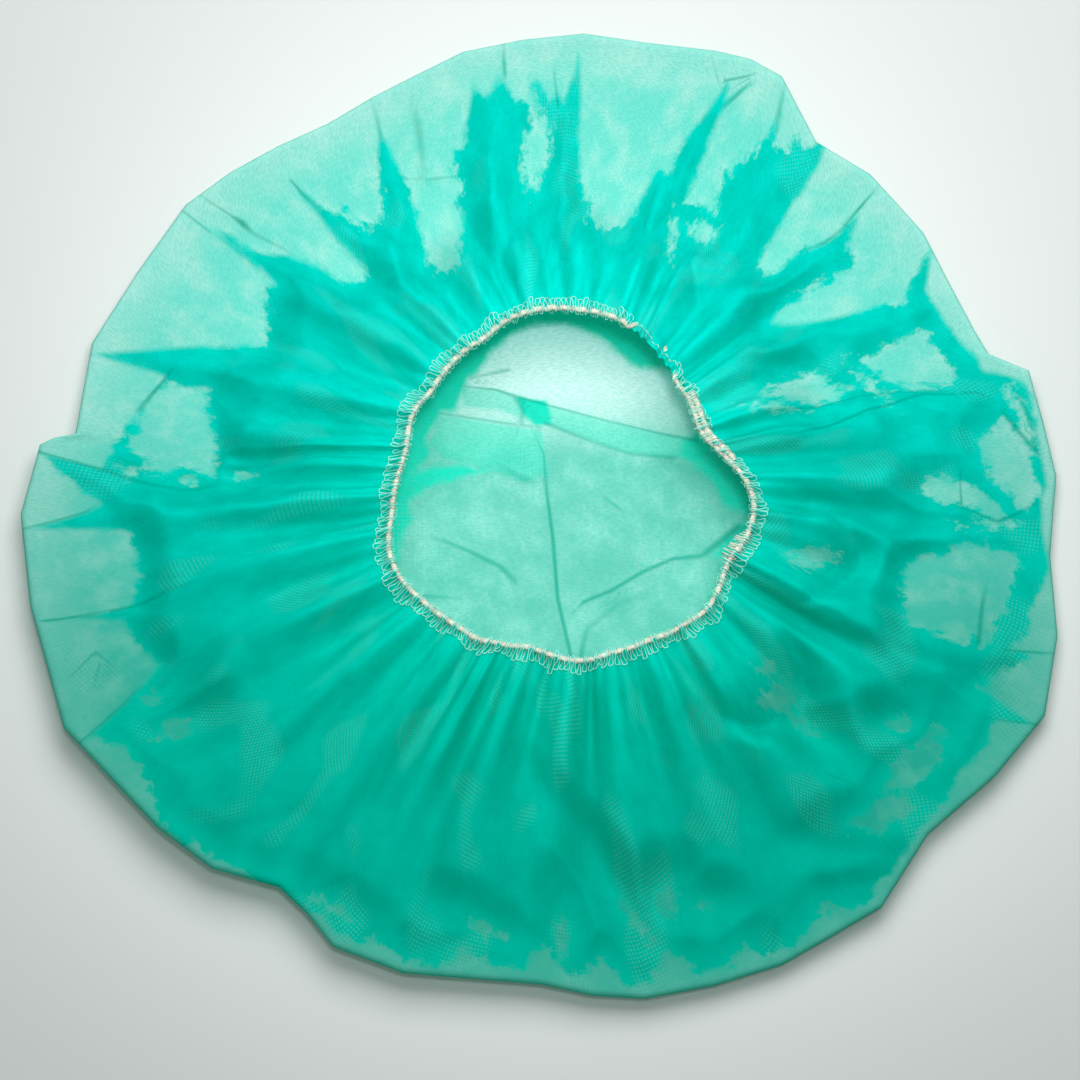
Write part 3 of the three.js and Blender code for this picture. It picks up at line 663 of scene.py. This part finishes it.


# Spunbond polypropylene nonwoven, dyed teal: fine filaments laid at random and bonded by a grid of
# hot dots. Its colour carries painted light and shade: milky where it lies on a pale surface, as painted
# light of that surface showing through, and deep teal where it stands off it, as painted shade under it.

# the colours for the near side are darker as painted shade, where the light falls off, and partly deeper
# for the doubled cloth there
clothColours = {
    "paleFar": "#88efe4",
    "paleNearShaded": "#2ab8a3",
    "whiter": "#e4fdf7",
    "whiterNearShaded": "#7ad2c0",
    "deepFar": "#00e8dc",
    "deepNearShaded": "#00ccb4",
    # painted shade of the fold valleys
    "valley_shade": "#009c86",
    # painted light: near white where the far rim shades the crown
    "crownFarLit": "#f0fffc",
    "crownNear": "#7ad2c1",
    "crownPale": "#a3e6d8",
    # painted shade of the crown's creases
    "crownCreaseShade": "#14ae98",
    "crownDeep": "#2ce6cb",
    # painted shade of the creases and of the fold of the edge, and also the darker clouds of the web
    "crease": "#00a58c",
    "fleck": "#7fb5ab",
}


def mixColours(tree, share, first, second):
    # first and second are sockets or linear colours
    node = addNode(tree, "ShaderNodeMix", {"data_type": "RGBA"}, Factor=share)
    for key, value in ((6, first), (7, second)):
        if isinstance(value, list):
            node.inputs[key].default_value = value
        else:
            tree.links.new(value, node.inputs[key])
    return node.outputs[2]


def maths(tree, operation, first, second=None):
    # second is a socket, a number or nothing
    settings, links = {"operation": operation}, {"i_0": first}
    if isinstance(second, float):
        settings["in:1"] = second
    elif second is not None:
        links["i_1"] = second
    return addNode(tree, "ShaderNodeMath", settings, **links).outputs[0]


def attribute(tree, name):
    return addNode(tree, "ShaderNodeAttribute", {"attribute_name": name}).outputs["Fac"]


def ramp(tree, value, fromLow, fromHigh, toLow=0.0, toHigh=1.0, kind="SMOOTHSTEP"):
    return addNode(tree, "ShaderNodeMapRange", {
        "interpolation_type": kind, "in:From Min": fromLow, "in:From Max": fromHigh, "in:To Min": toLow,
        "in:To Max": toHigh}, Value=value).outputs[0]


def noise(tree, vector, scale, detail, roughness, dimensions="2D"):
    return addNode(tree, "ShaderNodeTexNoise", {
        "noise_dimensions": dimensions, "in:Scale": scale, "in:Detail": detail, "in:Roughness": roughness},
        Vector=vector).outputs[0]


def makeNonwoven():
    material, tree = newMaterial("spunbond_polypropylene_nonwoven")
    cut = addNode(tree, "ShaderNodeUVMap", {"uv_map": "cut_cloth"}).outputs[0]
    chartUv = addNode(tree, "ShaderNodeUVMap", {"uv_map": "chart"}).outputs[0]
    onCrown = attribute(tree, "on_crown")
    colours = {name: linearColour(text) for name, text in clothColours.items()}
    chartY = addNode(tree, "ShaderNodeSeparateXYZ", None, Vector=chartUv).outputs["Y"]
    # painted shade: the cloth darker towards the near, lower side of the chart, where the light falls off,
    # and partly deeper for the doubled cloth there
    nearShade = ramp(tree, chartY, 0.25, 0.75)

    # ragged edge of the places that touch: blots 1 to 5 mm across
    blots = ramp(tree, noise(tree, cut, 190.0, 4.0, 0.66), 0.25, 0.75, -9.0, 9.0, "LINEAR")
    waver = maths(tree, "MULTIPLY", blots, attribute(tree, "ragged"))
    # painted light and shade: this mask makes the cloth deep teal where it stands off, as shade under it,
    # and pale where it touches, as light of the surface below
    liftedShade = ramp(tree, maths(tree, "ADD", attribute(tree, "standing"), waver), -3.4, 4.2)

    # clouds in the web 5 to 20 mm across, filaments drawn as streaks 0.4 mm wide, bonding dots 1.3 mm apart
    cloudy = noise(tree, cut, 75.0, 4.0, 0.6)
    streaks = []
    for angle in (0.5, 2.1):
        turned = addNode(tree, "ShaderNodeMapping", {
            "in:Rotation": (0, 0, angle), "in:Scale": (500, 2600, 1)}, Vector=cut).outputs[0]
        streaks.append(noise(tree, turned, 1.0, 1.0, 0.6))
    fibre = maths(tree, "ADD", *streaks)
    dots = addNode(tree, "ShaderNodeTexVoronoi", {
        "voronoi_dimensions": "2D", "feature": "F1", "in:Scale": 1 / (1.3 * mm), "in:Randomness": 0.12},
        Vector=cut).outputs["Distance"]
    embossed = ramp(tree, noise(tree, cut, 34.0, 1.0, 0.5), 0.56, 0.68)
    dot = maths(tree, "MULTIPLY", ramp(tree, dots, 0.18, 0.42, 1.0, 0.0), embossed)

    pale = mixColours(tree, nearShade, colours["paleFar"], colours["paleNearShaded"])
    whiter = mixColours(tree, nearShade, colours["whiter"], colours["whiterNearShaded"])
    pale = mixColours(tree, ramp(tree, cloudy, 0.36, 0.8, 0.0, 0.5), pale, whiter)
    fromMiddle = addNode(tree, "ShaderNodeVectorMath", {"operation": "LENGTH"}, i_0=cut).outputs["Value"]
    foldMiddle = (cloth["floorEnd"] + cloth["foldEnd"]) / 2
    fromFold = maths(tree, "ABSOLUTE", maths(tree, "SUBTRACT", fromMiddle, foldMiddle))
    # painted light: the pale cloth whiter near the fold of the edge, where both layers lie flat on the pale
    # surface
    pale = mixColours(tree, ramp(tree, fromFold, 4 * mm, 26 * mm, 0.4, 0.0), pale, whiter)
    deep = mixColours(tree, nearShade, colours["deepFar"], colours["deepNearShaded"])
    # painted shade: the deep teal darkened in the soft valleys between the folds
    valley_shade = ramp(tree, attribute(tree, "valley_shade"), 0.0, 1.2, 0.0, 0.75)
    deep = mixColours(tree, valley_shade, deep, colours["valley_shade"])
    deep = mixColours(tree, ramp(tree, cloudy, 0.28, 0.72, 0.0, 0.3), deep, colours["crease"])
    top = mixColours(tree, liftedShade, pale, deep)
    pastTuck = ramp(tree, chartY, 0.35, 0.43)
    lining = mixColours(tree, ramp(tree, cloudy, 0.28, 0.84), colours["crownNear"], colours["crownPale"])
    # painted light: the crown between the far rim and the tuck painted near white where the rim shades it
    lining = mixColours(tree, pastTuck, colours["crownFarLit"], lining)
    doubled = ramp(tree, attribute(tree, "tuck"), -2.5, 3.5, 0.0, 0.5)
    lining = mixColours(tree, doubled, lining, colours["crownDeep"])
    # painted shade: the crown deep teal where it stands off the surface, in a teal made lighter as painted
    # light where the rim shades it
    crown = mixColours(tree, liftedShade, lining, colours["crownDeep"])
    colour = mixColours(tree, onCrown, top, crown)

    # painted shade in the creases, and along the fold of the edge, where the eye looks along the cloth
    gap = maths(tree, "ABSOLUTE", attribute(tree, "crease_gap"))
    crease = maths(tree, "MULTIPLY", ramp(tree, gap, 0.0, 1.2, 1.0, 0.0), attribute(tree, "crease_shade_strength"))
    creased = mixColours(tree, onCrown, colours["crease"], colours["crownCreaseShade"])
    colour = mixColours(tree, crease, colour, creased)
    # painted shade: a darker line along the fold of the edge
    along = ramp(tree, fromFold, 0.5 * mm, 3.5 * mm, 0.65, 0.0)
    colour = mixColours(tree, along, colour, colours["crease"])

    # grey flecks on the crown, where it is creased most, then filaments and dots
    flecks = ramp(tree, noise(tree, cut, 900.0, 2.0, 0.7), 0.5, 0.62, 0.0, 0.22)
    flecks = maths(tree, "MULTIPLY", maths(tree, "MULTIPLY", flecks, pastTuck), onCrown)
    colour = mixColours(tree, flecks, colour, colours["fleck"])
    colour = mixColours(tree, ramp(tree, fibre, 0.75, 1.3, 0.0, 0.3), colour, colours["deepNearShaded"])
    colour = mixColours(tree, maths(tree, "MULTIPLY", dot, 0.06), colour, colours["whiter"])

    bump = addNode(tree, "ShaderNodeBump", {
        "in:Strength": 0.2, "in:Distance": 0.1 * mm}, Height=fibre).outputs[0]
    shader = addNode(tree, "ShaderNodeBsdfPrincipled", {"in:Roughness": 0.7, "in:Specular IOR Level": 0.0},
                     Base_Color=colour, Normal=bump)
    glow = addNode(tree, "ShaderNodeBsdfTranslucent", None, Color=colour, Normal=bump)
    both = addNode(tree, "ShaderNodeMixShader", {"in:Fac": 0.5}, i_1=shader.outputs[0], i_2=glow.outputs[0])
    addNode(tree, "ShaderNodeOutputMaterial", None, Surface=both.outputs[0])
    print("nonwoven made")
    return material


# The edging round the mouth: a ribbed elastic with its second end beside it, the thread that winds
# round it, and the overlock thread that holds it to the cloth

edging = {
    "stitch": 1.6 * mm,
    "elasticWidth": 1.5 * mm,
    "elasticHeight": 1.1 * mm,
    "rib": 0.8 * mm,  # from one rib of the elastic to the next
    "ribDepth": 0.12,  # share of its width
    "threadWidth": 0.26 * mm,
    "coverPitch": 0.85 * mm,  # from one turn of the covering thread to the next
    "coverWidth": 0.34 * mm,
    "lapGap": 1.7 * mm,  # between the middles of the two ends that lie side by side
    "reach": 4.1 * mm,  # of a loop over the cloth
    "overlap": (8, 38),  # degrees round the mouth, where the elastic's ends lie side by side
    "tucked": (47, 69),  # where the edging is turned under
    "bunched": (-27, -17),  # where the thread is bunched up
}

# One overlock stitch: out over the cloth in millimetres and in shares of its reach, share of the stitch
# along the edge, and height in millimetres
stitchNames = ("out", "reach", "along", "up")
stitchCourse = [dict(zip(stitchNames, row)) for row in (
    (-1.5, 0, 0.28, 0.3), (-0.9, 0, 0.3, 1.4), (0.2, 0, 0.32, 1.95), (1.1, 0, 0.3, 1.1),
    (0.9, 0.25, 0.22, 0.35), (0, 0.8, 0.1, 0.25), (0, 0.95, 0.14, 0.3), (0, 1.0, 0.34, 0.4),
    (0, 1.0, 0.66, 0.4), (0, 0.95, 0.86, 0.3), (0, 0.8, 0.9, 0.25), (0.9, 0.25, 0.78, 0.35),
    (1.1, 0, 0.7, 1.1), (0.2, 0, 0.68, 1.95), (-0.9, 0, 0.7, 1.4), (-1.5, 0, 0.72, 0.3),
)]


def tubeAlong(bm, course, widths, heights, closed, sides):
    # a grid rolled into a tube along a course, with its seam welded
    segments = len(course) - (0 if closed else 1)
    ahead = np.roll(course, -1, axis=0) - np.roll(course, 1, axis=0)
    if not closed:
        ahead[0], ahead[-1] = course[1] - course[0], course[-1] - course[-2]
    ahead /= np.linalg.norm(ahead, axis=1)[:, None]
    side = np.cross(ahead, (0, 0, 1))
    side /= np.maximum(np.linalg.norm(side, axis=1), 1e-6)[:, None]
    top = np.cross(side, ahead)
    made = bmesh.ops.create_grid(bm, x_segments=segments, y_segments=sides, size=0.5)["verts"]
    for vert in made:
        at = round((vert.co.x + 0.5) * segments) % len(course)
        angle = turn * (vert.co.y + 0.5)
        vert.co = (course[at] + side[at] * math.cos(angle) * widths[at] / 2
                   + top[at] * math.sin(angle) * heights[at] / 2)
    bmesh.ops.remove_doubles(bm, verts=made, dist=1e-7)
    if not closed:
        bmesh.ops.holes_fill(bm, edges=bm.edges[:], sides=sides)
    bmesh.ops.recalc_face_normals(bm, faces=bm.faces)


def within(angles, span, soften):
    # 1 between the two ends of a span of angles and 0 outside it
    begun, ended = (smooth(end - soften, end + soften, angles) for end in span)
    return begun * (1 - ended)


def mouthCourse(shift, spacing):
    # evenly spaced stations round the mouth: turns of the flat cloth, places, ways out over it, angles
    dense = np.linspace(0, turn, 4001)
    ring = cloth["cutRadius"] * np.stack([np.cos(dense), np.sin(dense)], axis=1)
    places = layCloth(ring)[0]
    lengths = np.append(0, np.cumsum(np.linalg.norm(np.diff(places[:, :2], axis=0), axis=1)))
    count = round(lengths[-1] / spacing)
    turns = np.interp(np.arange(count) / count * lengths[-1], lengths, dense)
    places = overCloth(turns, np.zeros(count), shift)
    outward = overCloth(turns, np.full(count, 6 * mm), shift) - places
    outward[:, 2] = 0
    outward /= np.linalg.norm(outward, axis=1)[:, None]
    fromMiddle = places - shift - cloth["mouth"]
    return turns, places, outward, np.degrees(np.arctan2(fromMiddle[:, 1], fromMiddle[:, 0]))


def overCloth(turns, out, shift):
    # places on the cloth so far out from its gathered edge
    radius = cloth["cutRadius"] - out
    return layCloth(np.stack([radius * np.cos(turns), radius * np.sin(turns)], axis=1))[0] + shift


def evened(values, reach):
    # each value of a closed course averaged with its neighbours
    return sum(np.roll(values, step, axis=0) for step in range(-reach, reach + 1)) / (2 * reach + 1)


def elasticCourse(places, outward, angles, reach):
    # the middle of the elastic, which dips where it is turned under the cloth
    tucked = within(angles, edging["tucked"], 1.5)
    course = evened(places, reach) + outward * ((3.6 * tucked - 0.2) * mm)[:, None]
    course[:, 2] += (0.6 - 4.6 * tucked) * mm
    return course


def makeElastic(material, shift):
    # covered elastic, ribbed across by its wrapping, drawn 4 stations to a rib
    turns, places, outward, angles = mouthCourse(shift, edging["rib"] / 4)
    count = len(turns)
    course = elasticCourse(places, outward, angles, 12)
    rib = 1 + edging["ribDepth"] * np.cos(np.arange(count) / 4 * turn)
    rng = np.random.default_rng(3)
    uneven = evened(rng.uniform(0.5, 1.5, count), 6)
    width = edging["elasticWidth"] * rib * uneven
    bm = bmesh.new()
    tubeAlong(bm, course, width, edging["elasticHeight"] * rib * uneven, True, 10)
    ring = newPiece("ribbed_elastic", bm, material)
    # the second end, beside the first for the length of the overlap
    lapped = np.nonzero((angles > edging["overlap"][0]) & (angles < edging["overlap"][1]))[0]
    lapped = lapped[np.argsort(angles[lapped])]
    course = course[lapped] + outward[lapped] * edging["lapGap"] + np.array([0, 0, 0.2 * mm])
    ends = np.minimum(np.arange(len(lapped)), np.arange(len(lapped))[::-1])
    taper = np.sqrt(np.clip(ends / 6, 0.1, 1))
    bm = bmesh.new()
    width = 1.1 * width[lapped] * taper
    tubeAlong(bm, course, width, edging["elasticHeight"] * rib[lapped] * taper, False, 10)
    lap = newPiece("lapped_elastic", bm, material)
    print("elastic made")
    return ring, lap


def makeCover(material, shift):
    # the thread that winds round the elastic in uneven turns, drawn 8 stations to a turn
    turns, places, outward, angles = mouthCourse(shift, edging["coverPitch"] / 8)
    count = len(turns)
    course = elasticCourse(places, outward, angles, 21)
    doubled = within(angles, edging["overlap"], 1.5)
    bunched = within(angles, edging["bunched"], 2)
    course += outward * (doubled * edging["lapGap"] / 2 - bunched * 0.9 * mm)[:, None]
    rng = np.random.default_rng(7)
    ahead = np.roll(course, -1, axis=0) - np.roll(course, 1, axis=0)
    ahead /= np.linalg.norm(ahead, axis=1)[:, None]
    wound = np.arange(count) / 8 * turn + 1.2 * evened(rng.uniform(-3, 3, count), 5)
    size = evened(rng.uniform(0.3, 1.9, count), 2) * (1 + 0.5 * bunched)
    half = edging["elasticWidth"] / 2 * size + doubled * edging["lapGap"] / 2 + bunched * 1.3 * mm
    course += outward * (np.cos(wound) * half)[:, None]
    course[:, 2] += np.sin(wound) * edging["elasticHeight"] / 2 * size * (1 + 0.3 * doubled)
    course += ahead * (evened(rng.uniform(-1, 1, count), 3) * 1.1 * mm)[:, None]
    bm = bmesh.new()
    width = np.full(count, edging["coverWidth"])
    tubeAlong(bm, course, width, width, True, 4)
    cover = newPiece("covering_thread", bm, material)
    print("cover made")
    return cover


def makeThread(material, shift):
    # one thread that runs out over the cloth and back in round-ended loops
    turns, _, outward, angles = mouthCourse(shift, edging["stitch"])
    count = len(turns)
    rng = np.random.default_rng(11)
    tucked = within(angles, edging["tucked"], 2)
    reach = edging["reach"] * evened(rng.uniform(0.45, 1.45, count), 1) * rng.uniform(0.88, 1.1, count)
    reach *= 1 - 0.45 * tucked
    lean = evened(rng.uniform(-1.2, 1.2, count), 1)
    step = np.diff(np.append(turns, turns[0] + turn))
    lift = 1 + 0.5 * within(angles, edging["overlap"], 2)
    extra = 1.6 * within(angles, edging["overlap"], 2)
    courses = []
    for point in stitchCourse:
        jitter = rng.uniform(-0.09, 0.09, count)
        out = point["out"] * mm * rng.uniform(0.8, 1.25, count) + point["reach"] * reach
        out += extra * mm * (point["out"] > 0) * (1 - point["reach"])
        if point["out"]:
            out = out * (1 - tucked) + 3 * mm * tucked
        onTurn = turns + step * (point["along"] + jitter + lean * point["reach"] * 0.5)
        spot = overCloth(onTurn, np.maximum(out, 0), shift) + outward * np.minimum(out, 0)[:, None]
        under = 4.2 * mm * tucked if point["out"] else 0
        spot[:, 2] += (point["up"] + rng.uniform(-0.08, 0.12, count)) * mm * lift - under
        courses.append(spot)
    course = np.stack(courses, axis=1).reshape(-1, 3)
    bm = bmesh.new()
    width = np.full(len(course), edging["threadWidth"])
    tubeAlong(bm, course, width, width, True, 5)
    thread = newPiece("overlock_thread", bm, material)
    print("thread made")
    return thread


def makeElasticCover():
    # white covered elastic: cream polyester wrapped round rubber, so matt and slightly uneven
    material, tree = newMaterial("polyester_covered_elastic")
    place = addNode(tree, "ShaderNodeTexCoord").outputs["Object"]
    mottle = ramp(tree, noise(tree, place, 900.0, 2.0, 0.6, "3D"), 0.3, 0.7)
    colour = mixColours(tree, mottle, linearColour("#cbccb9"), linearColour("#acb09c"))
    shader = addNode(tree, "ShaderNodeBsdfPrincipled", {"in:Roughness": 0.75, "in:Specular IOR Level": 0.2},
                     Base_Color=colour)
    addNode(tree, "ShaderNodeOutputMaterial", None, Surface=shader.outputs[0])
    return material


def makeThreadFibre(name, colour):
    # textured nylon thread: pale, and light comes through it a little
    material, tree = newMaterial(name)
    shader = addNode(tree, "ShaderNodeBsdfPrincipled", {
        "in:Base Color": linearColour(colour), "in:Roughness": 0.5, "in:Specular IOR Level": 0.4})
    glow = addNode(tree, "ShaderNodeBsdfTranslucent", {"in:Color": linearColour(colour)})
    both = addNode(tree, "ShaderNodeMixShader", {"in:Fac": 0.3}, i_1=shader.outputs[0], i_2=glow.outputs[0])
    addNode(tree, "ShaderNodeOutputMaterial", None, Surface=both.outputs[0])
    return material


def main():
    makeStage()
    makeLights()
    piece, shift = makeCloth(makeNonwoven())
    ring, lap = makeElastic(makeElasticCover(), shift)
    cover = makeCover(makeThreadFibre("nylon_covering_thread", "#d2dccb"), shift)
    thread = makeThread(makeThreadFibre("nylon_overlock_thread", "#a8f0e0"), shift)
    for part, node, slot in ((piece, "crown", "nonwoven"), (ring, "elastic_edging", "elastic"),
                             (lap, "elastic_overlap", "elastic"), (cover, None, "elastic"),
                             (thread, None, "elastic")):
        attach(part, "root")
        if node:
            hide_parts(node)


main()
